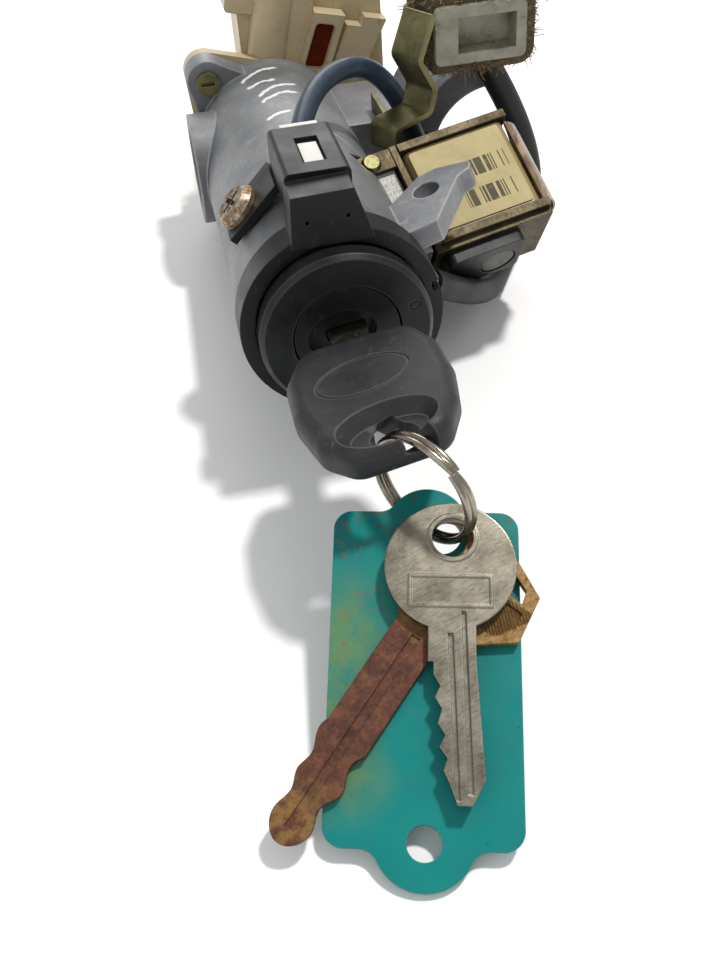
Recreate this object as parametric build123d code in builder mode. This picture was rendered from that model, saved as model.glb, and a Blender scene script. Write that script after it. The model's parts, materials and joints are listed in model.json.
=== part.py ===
from build123d import *
from math import atan2, cos, degrees, pi, radians, sin, tan
import os

os.makedirs("parts", exist_ok=True)

# ---------------------------------------------------------------- driving dimensions (mm)
PITCH = 8.0                 # the key face looks forwards and this much upwards (degrees)
FACE_X = -16.68             # centre of the bezel's front face in the row frame
FACE_Y = -15.85
FACE_Z = 35.77

BEZEL_R = 18.4              # round front bezel
RING_R = 21.8               # antenna ring behind the bezel
PLUG_R = 10.0               # key plug
SLEEVE_R = 13.9             # fixed lock cylinder round the plug
BARREL_R = 20.6             # die-cast barrel
BARREL_END = 106.0          # rear face of the barrel, behind the bezel's face

CLAMP_S = 55.0              # column clamp axis, to the right of the lock axis
CLAMP_T = 1.0
CLAMP_R = 16.0              # column tube radius
CLAMP_FRONT = 76.0
CLAMP_LONG = 28.0

BAR_B = 90.0                # where the lock bar crosses behind the bezel
BAR_WIDE = 11.0
BAR_HIGH = 10.0

WARN_B = 22.0               # key warning switch, low on the barrel's right
WARN_T = -4.0

EARS = ((-15.5, 19.0), (19.0, -15.2))   # the two screws that hold the ignition switch
EAR_R = 5.4

KEY_TURN = 9.0              # resting angle of the key's flat about the lock axis
TAG_WIDE = 35.0
TAG_LONG = 61.5
TAG_THICK = 1.8

# ---------------------------------------------------------------- the lock's own directions
SINP = sin(radians(PITCH))
COSP = cos(radians(PITCH))


def point(s, t, b):
    """A point s to the right of the lock axis, t above it and b behind the bezel's face."""
    return Vector(FACE_X + s, FACE_Y + t * SINP + b * COSP, FACE_Z + t * COSP - b * SINP)


def heading(s, t, b):
    """A direction in the same three terms."""
    return Vector(s, t * SINP + b * COSP, t * COSP - b * SINP)


def across(b):
    """A plane square to the lock axis, looking forwards: x right, y up."""
    return Plane(origin=point(0, 0, b), x_dir=heading(1, 0, 0), z_dir=heading(0, 0, -1))


def above(t):
    """A plane over the lock axis, looking up: x right, y back."""
    return Plane(origin=point(0, t, 0), x_dir=heading(1, 0, 0), z_dir=heading(0, 1, 0))


def beside(s):
    """A plane beside the lock axis, looking right: x back, y up."""
    return Plane(origin=point(s, 0, 0), x_dir=heading(0, 0, 1), z_dir=heading(1, 0, 0))


# the ignition switch is turned a little about the lock axis
SWITCH_TURN = 13.0
SWITCH_SIDE = heading(cos(radians(SWITCH_TURN)), -sin(radians(SWITCH_TURN)), 0)
SWITCH_UP = heading(sin(radians(SWITCH_TURN)), cos(radians(SWITCH_TURN)), 0)


def turned(b):
    """A plane square to the lock axis like across(), turned with the ignition switch."""
    return Plane(origin=point(0, 0, b), x_dir=SWITCH_SIDE, z_dir=heading(0, 0, -1))


def turned_above(t):
    """A plane over the lock axis like above(), turned with the ignition switch."""
    return Plane(origin=point(0, 0, 0) + SWITCH_UP * t, x_dir=SWITCH_SIDE, z_dir=SWITCH_UP)


# the solenoid sits on its own tilted face: x along its width, y towards its far end plate
SOL_OUT = heading(0, 0.827, -0.562)
SOL_X = heading(0.98, 0.11, 0.162)
SOL = Plane(origin=point(39.9, 9.9, 43.4), x_dir=SOL_X, z_dir=SOL_OUT)

# the antenna's screw stands on the barrel's upper left: x up and right, y back
EAR = Plane(origin=point(-14.85, 14.85, 31), x_dir=heading(1, 1, 0), z_dir=heading(-1, 1, 0))

# the key's flat, turned a little about the lock axis: x across the key, y back along it
KEY_SIDE = heading(cos(radians(KEY_TURN)), sin(radians(KEY_TURN)), 0)
KEY_UP = heading(-sin(radians(KEY_TURN)), cos(radians(KEY_TURN)), 0)
KEY = Plane(origin=point(0, 0, 0), x_dir=KEY_SIDE, z_dir=KEY_UP)

# the plastic tag leans from the floor up to the ring: x across it, y up along it
TAG_YAW = radians(15.1)
TAG_LEAN = radians(19.3)
TAG_X = Vector(cos(TAG_YAW), -sin(TAG_YAW), 0)
TAG_Y = Vector(sin(TAG_YAW) * cos(TAG_LEAN), cos(TAG_YAW) * cos(TAG_LEAN), sin(TAG_LEAN))
TAG_OUT = TAG_X.cross(TAG_Y)
TAG = Plane(origin=Vector(FACE_X - 9.1, FACE_Y - 96.2, FACE_Z - 32.6), x_dir=TAG_X, z_dir=TAG_OUT)


# the split ring hangs through the key's hole and the tag's
RING_MEAN = 11.4
RING_OUT = Vector(0.833, 0.552, -0.022)
RING_PLANE = Plane(origin=Vector(FACE_X + 5.2, FACE_Y - 41.0, FACE_Z - 3.6),
                   x_dir=Vector(0, 0, 1).cross(RING_OUT), z_dir=RING_OUT)


def floor_under(b):
    """How far above the lock axis the floor is, b behind the bezel's face."""
    return (b * SINP - FACE_Z) / COSP


def save(builder, label):
    """Name a finished piece and write its file."""
    builder.part.label = label
    export_step(builder.part, "parts/" + label + ".step")
    print(label, round(builder.part.volume, 1), "mm3")


# ================================================================ die-cast housing
with BuildPart() as lock_housing:
    with BuildSketch(across(9)):
        Circle(BARREL_R)
    extrude(amount=-(BARREL_END - 9))
    # two ears that take the ignition switch's screws
    for s, t in EARS:
        with BuildSketch(across(99)):
            with Locations((s, t)):
                Circle(EAR_R)
            Circle(15)
            make_hull()
        extrude(amount=-(BARREL_END - 99))
    # body of the lock bar and the half clamp that sits on the steering column
    with BuildSketch(across(CLAMP_FRONT)):
        with Locations((26, 0.5)):
            Rectangle(34, 22.5)
    extrude(amount=-CLAMP_LONG)
    with BuildSketch(across(CLAMP_FRONT)):
        with Locations((CLAMP_S, CLAMP_T)):
            Circle(22.5)
        with Locations((CLAMP_S + 15, CLAMP_T)):
            Rectangle(30, 60, mode=Mode.SUBTRACT)
    extrude(amount=-CLAMP_LONG)
    # round boss of the bar's cap, on the left
    with BuildSketch(beside(-14)):
        with Locations((BAR_B, 0)):
            Circle(14)
    extrude(amount=-8.5)
    # grainy pad beside the solenoid
    with BuildSketch(SOL.offset(-1.8)):
        with Locations((-21.5, 0)):
            Rectangle(10, 28)
    extrude(amount=-12)
    # drilled lug on the right
    with BuildSketch(Plane(origin=point(-2.4, 7.6, 0), x_dir=heading(0.954, 0.3, 0),
                           z_dir=heading(-0.3, 0.954, 0))):
        with BuildLine():
            Polyline((12, 21.5), (19, 27), (27.5, 33.8), (32, 34.2), (36.2, 32.4), (39.4, 31.0), (38.4, 28.4),
                     (35.4, 27.2), (26.5, 13.7), (12, 13.7), close=True)
        make_face()
        fillet(vertices().sort_by(Axis.X)[-5:], 0.8)
    extrude(amount=-5)
    # foot of the key warning switch, low on the right
    with BuildSketch(beside(14)):
        with Locations((WARN_B, WARN_T)):
            Rectangle(16.5, 12)
    extrude(amount=9)
    # two cast feet under the barrel
    for front, rear, draft in ((20, 42, 4), (96, 106, 0)):
        with BuildSketch(beside(-5)):
            with BuildLine():
                Polyline((front - draft, -17), (rear + draft, -17), (rear, floor_under(rear)),
                         (front, floor_under(front)), close=True)
            make_face()
        extrude(amount=10)

    # flat for the bracket's tab
    with BuildSketch(SOL.offset(-1.8)):
        with Locations((-20.6, 11)):
            Rectangle(12.8, 5.8)
    extrude(amount=5, mode=Mode.SUBTRACT)
    # bore for the lock cylinder, room for the cam, and the switch's register
    with BuildSketch(across(9)):
        Circle(SLEEVE_R + 0.02)
    extrude(amount=-38, mode=Mode.SUBTRACT)
    with BuildSketch(across(47)):
        Circle(12)
    extrude(amount=-52, mode=Mode.SUBTRACT)
    with BuildSketch(across(98)):
        Circle(5.2)
    extrude(amount=-4, mode=Mode.SUBTRACT)
    with BuildSketch(across(101)):
        Circle(14)
    extrude(amount=-6, mode=Mode.SUBTRACT)
    # screw holes in the ears
    with BuildSketch(across(98)):
        with Locations(*EARS):
            Circle(2.02)
    extrude(amount=-9, mode=Mode.SUBTRACT)
    # channel of the lock bar, the spring pocket and the cap's recess
    with BuildSketch(beside(-20)):
        with Locations((BAR_B, 0)):
            Rectangle(BAR_WIDE + 0.12, BAR_HIGH + 0.12)
    extrude(amount=66, mode=Mode.SUBTRACT)
    with BuildSketch(beside(-23)):
        with Locations((BAR_B, 0)):
            Circle(10.5)
    extrude(amount=3.4, mode=Mode.SUBTRACT)
    # round seat of the column tube
    with BuildSketch(across(CLAMP_FRONT - 1)):
        with Locations((CLAMP_S, CLAMP_T)):
            Circle(CLAMP_R)
    extrude(amount=-(CLAMP_LONG + 2), mode=Mode.SUBTRACT)
    # tapped holes of the clamp cap's two bolts
    with BuildSketch(beside(CLAMP_S + 1)):
        with Locations((BAR_B, CLAMP_T + 19.3), (BAR_B, CLAMP_T - 19.3)):
            Circle(2.1)
    extrude(amount=-13, mode=Mode.SUBTRACT)
    # hole of the lug, the pad's rivet and the antenna screw
    with BuildSketch(Plane(origin=point(-2.4, 7.6, 0), x_dir=heading(0.954, 0.3, 0),
                           z_dir=heading(-0.3, 0.954, 0)).offset(1)):
        with Locations((27.8, 27.2)):
            Circle(3.0)
    extrude(amount=-7, mode=Mode.SUBTRACT)
    with BuildSketch(SOL.offset(-1)):
        with Locations((-21.5, 11)):
            Circle(1.6)
    extrude(amount=-8, mode=Mode.SUBTRACT)
    with BuildSketch(EAR):
        Circle(1.62)
    extrude(amount=-8, mode=Mode.SUBTRACT)
    # socket of the warning switch and the way of its plunger
    with BuildSketch(beside(23)):
        with Locations((WARN_B, WARN_T)):
            Rectangle(12, 8)
    extrude(amount=-8, mode=Mode.SUBTRACT)
    with BuildSketch(beside(16)):
        with Locations((WARN_B, WARN_T)):
            Circle(1.5)
    extrude(amount=-8, mode=Mode.SUBTRACT)
save(lock_housing, "lock_housing")

# ================================================================ fixed lock cylinder and bezel
with BuildPart() as cylinder_sleeve:
    with BuildSketch(across(5)):
        Circle(SLEEVE_R)
        Circle(PLUG_R + 0.05, mode=Mode.SUBTRACT)
    extrude(amount=-41.5)
    with BuildSketch(beside(16)):
        with Locations((WARN_B, WARN_T)):
            Circle(1.5)
    extrude(amount=-8, mode=Mode.SUBTRACT)
save(cylinder_sleeve, "cylinder_sleeve")

with BuildPart() as bezel_ring:
    with BuildSketch(across(1.1)):
        Circle(BEZEL_R)
    extrude(amount=-3.3)
    with BuildSketch(across(1.1)):
        Circle(BEZEL_R)
    extrude(amount=1.1, taper=40)
    with BuildSketch(across(0)):
        Circle(11.6)
    extrude(amount=-5, mode=Mode.SUBTRACT)
    with BuildSketch(across(4.4)):
        Circle(18.0)
        Circle(14.1, mode=Mode.SUBTRACT)
    extrude(amount=-4.5)
    # position marks let into the face: 0, then one, two and three bars
    for mark, angle in enumerate((18, -14, -46, -78)):
        with BuildSketch(across(0)):
            with PolarLocations(15.1, 1, angle):
                if mark == 0:
                    Ellipse(1.4, 1.0)
                    Ellipse(0.95, 0.55, mode=Mode.SUBTRACT)
                else:
                    with GridLocations(1, 1.1, 1, mark):
                        Rectangle(2.6, 0.5)
        extrude(amount=-0.3, mode=Mode.SUBTRACT)
save(bezel_ring, "bezel_ring")

# ================================================================ turning lock plug
SLOT_WIDE = 8.5
SLOT_HIGH = 2.9
WAFER_AT = (12, 16, 20, 24.5, 28.5, 32.5)
with BuildPart() as lock_plug:
    with BuildSketch(across(3)):
        Circle(PLUG_R)
    extrude(amount=-43)
    with BuildSketch(across(3)):
        Rectangle(SLOT_WIDE, SLOT_HIGH, rotation=KEY_TURN)
    extrude(amount=-34, mode=Mode.SUBTRACT)
    for b in WAFER_AT:
        with BuildSketch(across(b)):
            Rectangle(17.2, 6.0, rotation=KEY_TURN)
        extrude(amount=-1.3, mode=Mode.SUBTRACT)
save(lock_plug, "lock_plug")

with BuildPart() as wafer_tumblers:
    for b in WAFER_AT:
        with BuildSketch(across(b + 0.2)):
            Rectangle(16.6, 5.6, rotation=KEY_TURN)
            Rectangle(9.0, 3.3, rotation=KEY_TURN, mode=Mode.SUBTRACT)
        extrude(amount=-0.9)
save(wafer_tumblers, "wafer_tumblers")

with BuildPart() as plug_face:
    with BuildSketch(across(0.4)):
        Circle(11.2)
    extrude(amount=-2.6)
    with BuildSketch(across(0.4)):
        with Locations((-1.2, 0.4)):
            Ellipse(7.4, 5.4, rotation=KEY_TURN)
    extrude(amount=-1.9, mode=Mode.SUBTRACT)
    with BuildSketch(across(0.4)):
        Rectangle(SLOT_WIDE, SLOT_HIGH, rotation=KEY_TURN)
        with Locations((8.8, -1.0)):
            Circle(0.6)
    extrude(amount=-4, mode=Mode.SUBTRACT)
save(plug_face, "plug_face")

with BuildPart() as cam:
    with BuildSketch(across(46)):
        Circle(9.4)
    extrude(amount=-6)
    with BuildSketch(across(52)):
        Circle(6)
    extrude(amount=-18)
    with BuildSketch(across(70)):
        with Locations((0, -1.6)):
            Circle(9.4)
    extrude(amount=-13.6)
save(cam, "cam")

with BuildPart() as tail_shaft:
    with BuildSketch(across(83.6)):
        Circle(2.3)
    extrude(amount=-14.6)
    with BuildSketch(across(98.2)):
        Circle(5.15)
    extrude(amount=-4.6)
    with BuildSketch(across(102.8)):
        Rectangle(6.5, 5)
    extrude(amount=-8.7)
save(tail_shaft, "tail_shaft")

# torsion spring that brings the key back from the start position
with BuildPart() as return_spring:
    with BuildLine():
        coil = Helix(pitch=2.6, height=13, radius=8.4, center=point(0, 0, 54), direction=heading(0, 0, 1))
    with BuildSketch(Plane(origin=coil @ 0, z_dir=coil % 0)):
        Circle(0.8)
    sweep()
save(return_spring, "return_spring")

# ================================================================ steering lock bar
with BuildPart() as lock_bar:
    with BuildSketch(across(BAR_B - BAR_WIDE / 2)):
        with Locations((12.3, 0)):
            Rectangle(53, BAR_HIGH)
        with Locations((-2.1, 0)):
            Rectangle(12.4, 5.4, mode=Mode.SUBTRACT)
    extrude(amount=-BAR_WIDE)
save(lock_bar, "lock_bar")

with BuildPart() as bar_spring:
    with BuildLine():
        turns = Helix(pitch=1.3, height=3.9, radius=3.4, center=point(-18.9, 0, BAR_B),
                      direction=heading(1, 0, 0))
    with BuildSketch(Plane(origin=turns @ 0, z_dir=turns % 0)):
        Circle(0.35)
    sweep()
save(bar_spring, "bar_spring")

with BuildPart() as bar_cap:
    with BuildSketch(beside(-19.6)):
        with Locations((BAR_B, 0)):
            Circle(10.4)
    extrude(amount=-1.6)
    with BuildSketch(beside(-21.2)):
        with Locations((BAR_B, 0)):
            Circle(3.2)
    extrude(amount=-0.8)
save(bar_cap, "bar_cap")

# ================================================================ antenna of the immobiliser
with BuildPart() as antenna_housing:
    with BuildSketch(across(5.6)):
        Circle(RING_R)
        Circle(18.6, mode=Mode.SUBTRACT)
    extrude(amount=-1.2)
    with BuildSketch(across(5.6)):
        Circle(RING_R)
        Circle(BARREL_R + 0.1, mode=Mode.SUBTRACT)
    extrude(amount=-7.6)
    # arm over the top
    with BuildSketch(across(4.6)):
        with BuildLine():
            Polyline((-9.2, 18.8), (7.8, 19.0), (4.2, 30.2), (-8.6, 29.8), close=True)
        make_face()
    extrude(amount=-8.2)
    # shell of the plug socket behind the arm
    with BuildSketch(across(12)):
        with Locations((-1.6, 26.6)):
            RectangleRounded(13.6, 9.4, 1.2)
    extrude(amount=-22.5)
    # tab under the fixing screw
    with BuildSketch(EAR.offset(0.2)):
        with Locations((2.6, -0.5)):
            Rectangle(15.4, 12)
    extrude(amount=1.8)
    with BuildSketch(across(6.8)):
        Circle(BARREL_R + 0.1)
    extrude(amount=-10, mode=Mode.SUBTRACT)
    # two moulding holes in the front face
    with BuildSketch(across(4.6)):
        with Locations((-5.6, 24.2), (2.6, 24.6)):
            Circle(0.45)
    extrude(amount=-1.2, mode=Mode.SUBTRACT)
    with BuildSketch(across(14)):
        with Locations((-1.6, 26.6)):
            Rectangle(10.6, 6.4)
    extrude(amount=-21, mode=Mode.SUBTRACT)
    with BuildSketch(above(32)):
        with Locations((-1.2, 22.5)):
            Rectangle(4.8, 12)
    extrude(amount=-3.5, mode=Mode.SUBTRACT)
    with BuildSketch(EAR):
        Circle(1.9)
    extrude(amount=3, mode=Mode.SUBTRACT)
    # notch in the ring at the right
    with BuildSketch(across(5.6)):
        with PolarLocations(21.2, 1, 14):
            Rectangle(2.4, 2.2)
    extrude(amount=-3, mode=Mode.SUBTRACT)
save(antenna_housing, "antenna_housing")

with BuildPart() as antenna_coil:
    with BuildSketch(across(7.0)):
        Circle(20.3)
        Circle(19.0, mode=Mode.SUBTRACT)
    extrude(amount=-1.7)
save(antenna_coil, "antenna_coil")

with BuildPart() as antenna_plug:
    with BuildSketch(across(17)):
        with Locations((-1.6, 26.2)):
            Rectangle(10.0, 5.0)
    extrude(amount=-19)
    with BuildSketch(across(16.5)):
        with Locations((-4.4, 26.5), (-1.6, 26.5), (1.2, 26.5)):
            Circle(0.6)
    extrude(amount=-8, mode=Mode.SUBTRACT)
save(antenna_plug, "antenna_plug")

with BuildPart() as antenna_pins:
    with BuildSketch(across(14)):
        with Locations((-4.4, 26.5), (-1.6, 26.5), (1.2, 26.5)):
            Rectangle(0.64, 0.64)
    extrude(amount=-8.6)
save(antenna_pins, "antenna_pins")

with BuildPart() as plug_lock:
    with BuildSketch(across(17.5)):
        with Locations((-1.2, 29.85)):
            Rectangle(4.0, 1.7)
    extrude(amount=-9.5)
    with BuildSketch(across(17.5)):
        with Locations((-1.2, 29.25)):
            Rectangle(4.0, 0.5)
    extrude(amount=-18.5)
    with BuildSketch(across(34.8)):
        with Locations((-1.4, 30.1)):
            Rectangle(8.2, 2.2)
    extrude(amount=-1.6)
save(plug_lock, "plug_lock")

with BuildPart() as antenna_screw:
    with BuildSketch(EAR.offset(2.05)):
        Circle(5.2)
    extrude(amount=1.2)
    with BuildSketch(EAR.offset(3.25)):
        Circle(5.2)
    extrude(amount=1.6, taper=35)
    with BuildSketch(EAR.offset(2.05)):
        Circle(1.6)
    extrude(amount=-8)
    with BuildSketch(EAR.offset(3.6)):
        Rectangle(5.6, 1.2, rotation=20)
        Rectangle(5.6, 1.2, rotation=110)
    extrude(amount=3, mode=Mode.SUBTRACT)
save(antenna_screw, "antenna_screw")

# ================================================================ ignition switch at the rear
with BuildPart() as switch_case:
    with BuildSketch(across(BARREL_END)):
        Circle(19.5)
        with Locations(*EARS):
            Circle(EAR_R)
        make_hull()
    extrude(amount=-3.5)
    with BuildSketch(across(BARREL_END)):
        Circle(13.8)
    extrude(amount=1.8)
    with BuildSketch(across(113)):
        with Locations((15.0, 14.5)):
            RectangleRounded(39, 39, 3)
    extrude(amount=-18.5)
    with BuildSketch(across(109.5)):
        Circle(19.5)
    extrude(amount=-3.5)
    # rounded tower, its small wing on the left, and the broad rib beside the window
    with BuildSketch(turned_above(8)):
        with Locations((-2.1, 115.2)):
            SlotCenterToCenter(6.6, 10.8, rotation=90)
    extrude(amount=29)
    with BuildSketch(turned(111)):
        with Locations((-10.5, 33.5)):
            RectangleRounded(9, 8, 1)
    extrude(amount=-9)
    with BuildSketch(turned(108.5)):
        with Locations((5.0, 27)):
            Rectangle(6.0, 18)
    extrude(amount=-6)
    # frame of the window and the leaning block on the right
    with BuildSketch(turned(107)):
        with BuildLine():
            Polyline((5.6, 16), (14.2, 16), (16.8, 33), (8.2, 33), close=True)
        make_face()
    extrude(amount=-7)
    with BuildSketch(turned(108)):
        with BuildLine():
            Polyline((13.8, 13), (22.6, 13), (28.2, 33), (22.2, 33), (21.8, 30.5), (17.6, 30.5), close=True)
        make_face()
    extrude(amount=-16)
    # hollow for the rotor
    with BuildSketch(across(104)):
        Circle(11)
    extrude(amount=-18, mode=Mode.SUBTRACT)
    # window, plug socket in the far side and screw holes
    with BuildSketch(turned(106.5)):
        with BuildLine():
            Polyline((7.4, 18.6), (12.8, 18.6), (14.6, 30.4), (9.2, 30.4), close=True)
        make_face()
        fillet(vertices(), 1.2)
    extrude(amount=-3, mode=Mode.SUBTRACT)
    with BuildSketch(across(132)):
        with Locations((18, 17)):
            Rectangle(28, 26)
    extrude(amount=8, mode=Mode.SUBTRACT)
    with BuildSketch(across(104)):
        with Locations(*EARS):
            Circle(2.1)
    extrude(amount=-10, mode=Mode.SUBTRACT)
save(switch_case, "switch_case")

with BuildPart() as switch_screws:
    for s, t in EARS:
        with BuildSketch(across(98.6)):
            with Locations((s, t)):
                Circle(2.0)
        extrude(amount=-8.5)
        with BuildSketch(across(98.9)):
            with Locations((s, t)):
                Circle(3.0)
                Rectangle(3.6, 0.9, mode=Mode.SUBTRACT)
        extrude(amount=1.4)
save(switch_screws, "switch_screws")

with BuildPart() as switch_rotor:
    with BuildSketch(across(106.5)):
        Circle(10.4)
        Rectangle(6.54, 5.04, mode=Mode.SUBTRACT)
    extrude(amount=-11)
save(switch_rotor, "switch_rotor")

with BuildPart() as switch_contacts:
    with BuildSketch(across(119)):
        for angle in (20, 80, 140, 220, 300):
            with PolarLocations(7.4, 1, angle):
                Rectangle(4, 3)
    extrude(amount=-3)
save(switch_contacts, "switch_contacts")

with BuildPart() as switch_terminals:
    with BuildSketch(across(124)):
        with Locations((18, 17)):
            with GridLocations(6, 9, 4, 2):
                Rectangle(4, 0.8)
    extrude(amount=-7)
save(switch_terminals, "switch_terminals")

with BuildPart() as window_plate:
    with BuildSketch(turned(109)):
        with BuildLine():
            Polyline((7.4, 18.6), (12.8, 18.6), (14.6, 30.4), (9.2, 30.4), close=True)
        make_face()
        fillet(vertices(), 1.2)
    extrude(amount=-0.5)
save(window_plate, "window_plate")

# ================================================================ interlock solenoid
SOL_DEEP = 22.0
with BuildPart() as solenoid_frame:
    with BuildSketch(SOL):
        with Locations((0, 12.6), (0, -12.6)):
            Rectangle(28, 2)
    extrude(amount=-SOL_DEEP)
    with BuildSketch(SOL.offset(-SOL_DEEP + 2)):
        Rectangle(28, 27.2)
    extrude(amount=-2)
    with BuildSketch(Plane(origin=SOL.from_local_coords((0, -20, -11)), x_dir=SOL_X, z_dir=SOL.y_dir)):
        Circle(4.6)
    extrude(amount=16, mode=Mode.SUBTRACT)
save(solenoid_frame, "solenoid_frame")

# axis of the coil: through the middle of the frame, towards the far end plate
COIL = Plane(origin=SOL.from_local_coords((0, 0, -11)), x_dir=SOL_X, z_dir=SOL.y_dir)
with BuildPart() as solenoid_bobbin:
    with BuildSketch(COIL.offset(-11.5)):
        Circle(5.4)
        Circle(4.3, mode=Mode.SUBTRACT)
    extrude(amount=23)
    for h in (-11.5, 10.5):
        with BuildSketch(COIL.offset(h)):
            Circle(7.9)
            Circle(4.3, mode=Mode.SUBTRACT)
        extrude(amount=1)
save(solenoid_bobbin, "solenoid_bobbin")

with BuildPart() as coil_winding:
    with BuildSketch(COIL.offset(-10.4)):
        Circle(7.4)
        Circle(5.5, mode=Mode.SUBTRACT)
    extrude(amount=20.8)
save(coil_winding, "coil_winding")

with BuildPart() as coil_cover:
    with BuildSketch(COIL.offset(-11.4)):
        with Locations((0, -0.55)):
            RectangleRounded(26.4, 18.5, 2.5)
        Circle(8.1, mode=Mode.SUBTRACT)
    extrude(amount=22.8)
save(coil_cover, "coil_cover")

with BuildPart() as solenoid_label:
    with BuildSketch(SOL.offset(-1.18)):
        with Locations((-0.5, 0)):
            RectangleRounded(23.5, 21.4, 1)
    extrude(amount=0.3)
save(solenoid_label, "solenoid_label")

with BuildPart() as end_tape:
    with BuildSketch(Plane(origin=SOL.from_local_coords((0, -11, 0)), x_dir=SOL_X, z_dir=SOL.y_dir)):
        with BuildLine():
            ThreePointArc((13.4, 1.4), (18.6, 10.0), (13.4, 18.6))
            Line((13.4, 18.6), (13.4, 18.0))
            ThreePointArc((13.4, 18.0), (18.1, 10.0), (13.4, 2.0))
            Line((13.4, 2.0), (13.4, 1.4))
        make_face()
    extrude(amount=22)
save(end_tape, "end_tape")

with BuildPart() as solenoid_plunger:
    with BuildSketch(COIL.offset(-18.2)):
        Circle(4.2)
    extrude(amount=20.2)
save(solenoid_plunger, "solenoid_plunger")

with BuildPart() as plunger_spring:
    with BuildLine():
        wind = Helix(pitch=1.6, height=6.4, radius=3.3,
                     center=COIL.from_local_coords((0, 0, 2.5)), direction=COIL.z_dir)
    with BuildSketch(Plane(origin=wind @ 0, z_dir=wind % 0)):
        Circle(0.35)
    sweep()
save(plunger_spring, "plunger_spring")

# bent plate that carries the solenoid: tab on the pad, side wall and foot
with BuildPart() as solenoid_bracket:
    with BuildSketch(SOL.offset(-1.8)):
        with Locations((-20.6, 11)):
            Rectangle(12, 5)
    extrude(amount=1.5)
    with BuildSketch(Plane(origin=SOL.from_local_coords((-16.0, 0, 0)), x_dir=SOL.y_dir, z_dir=SOL_X)):
        with Locations((0, 0)):
            Rectangle(27.2, 18, align=(Align.CENTER, Align.MAX))
    extrude(amount=1.6)
    with BuildSketch(Plane(origin=SOL.from_local_coords((0, -13.6, 0)), x_dir=SOL_X, z_dir=SOL.y_dir)):
        with Locations((-1, 11)):
            Rectangle(30, 19)
        with Locations((0, 11)):
            Circle(5.6, mode=Mode.SUBTRACT)
    extrude(amount=-1.6)
    with BuildSketch(SOL):
        with Locations((-21.5, 11)):
            Circle(1.62)
    extrude(amount=-3, mode=Mode.SUBTRACT)
save(solenoid_bracket, "solenoid_bracket")

with BuildPart() as bracket_rivet:
    with BuildSketch(SOL.offset(-0.3)):
        with Locations((-21.5, 11)):
            Circle(2.4)
    extrude(amount=1.2, taper=25)
    with BuildSketch(SOL.offset(-0.3)):
        with Locations((-21.5, 11)):
            Circle(1.6)
    extrude(amount=-6)
save(bracket_rivet, "bracket_rivet")

# guide block under the near end plate, with the plunger's way through it
with BuildPart() as interlock_guide:
    with BuildSketch(Plane(origin=SOL.from_local_coords((0, -15.2, 0)), x_dir=SOL_X, z_dir=SOL.y_dir)):
        with Locations((-4, 10)):
            RectangleRounded(20, 14, 2)
        with Locations((0, 11)):
            Circle(4.55, mode=Mode.SUBTRACT)
    extrude(amount=-3.2)
save(interlock_guide, "interlock_guide")

with BuildPart() as pole_piece:
    with BuildSketch(COIL.offset(9.4)):
        Circle(4.25)
    extrude(amount=2.15)
save(pole_piece, "pole_piece")

# ================================================================ connector on its bent strip
STRIP_B = 57.0
with BuildPart() as connector_strip:
    with BuildSketch(across(STRIP_B)):
        with BuildLine():
            path = FilletPolyline((25.2, 11.75), (25.2, 17.0), (33.4, 20.0), (34.6, 25.5), (31.0, 32.5),
                                  (34.4, 42.0), radius=2.2)
            offset(path, amount=0.6, side=Side.BOTH)
        make_face()
    extrude(amount=9, dir=heading(-0.5, 0, 0.866))
    # flange that stands on the bar's housing
    with BuildSketch(beside(24.6)):
        with Locations((STRIP_B + 13.5, 14.0)):
            Rectangle(27, 4.5)
    extrude(amount=1.2)
save(connector_strip, "connector_strip")

with BuildPart() as harness_connector:
    with BuildSketch(across(60)):
        with Locations((46.5, 36)):
            RectangleRounded(22, 13, 1.5)
    extrude(amount=-20)
    with BuildSketch(across(58)):
        with Locations((48, 36)):
            Rectangle(14, 8)
    extrude(amount=-8, mode=Mode.SUBTRACT)
save(harness_connector, "harness_connector")


def route(points, share=0.45):
    """Straight runs joined by tangent arcs, with the radii worked out from the runs and turns."""
    stops = [point(*p) for p in points]
    radii = []
    for before, here, after in zip(stops, stops[1:], stops[2:]):
        first = here - before
        second = after - here
        turn = radians(first.get_angle(second))
        radii.append(round(share * min(first.length, second.length) / tan(turn / 2), 2))
    return stops, radii


TUBE_D = 6.4
TUBE_ROUTE = [(48.3, 29.5, 68.8), (68.2, -2.3, 71.5), (52.6, -25.3, 59.1), (40.3, -19.8, 35.2),
              (23.4, WARN_T, WARN_B)]
tube_stops, tube_radii = route(TUBE_ROUTE)
print("tube radii", tube_radii, "section", TUBE_D)
with BuildPart() as felt_wrap:
    with BuildSketch(across(62)):
        with Locations((46.5, 36)):
            RectangleRounded(27.4, 18, 4)
            RectangleRounded(22.1, 13.1, 1.5, mode=Mode.SUBTRACT)
    extrude(amount=-14)
    with BuildSketch(across(55)):
        with Locations((33.0, 37)):
            Rectangle(4.6, 20.4)
    extrude(amount=-14, mode=Mode.SUBTRACT)
    # where the harness tube comes out
    with BuildSketch(Plane(origin=tube_stops[0], z_dir=tube_stops[1] - tube_stops[0])):
        Circle(TUBE_D / 2 + 0.5)
    extrude(amount=8, mode=Mode.SUBTRACT)
save(felt_wrap, "felt_wrap")


with BuildPart() as harness_tube:
    with BuildLine():
        run = FilletPolyline(*tube_stops, radius=tube_radii)
    with BuildSketch(Plane(origin=run @ 0, z_dir=run % 0)):
        Circle(TUBE_D / 2)
    sweep()
save(harness_tube, "harness_tube")
print("tube length", round(run.length, 1), "volume over section times length",
      round(harness_tube.part.volume / (pi * TUBE_D ** 2 / 4 * run.length), 4))

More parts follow.
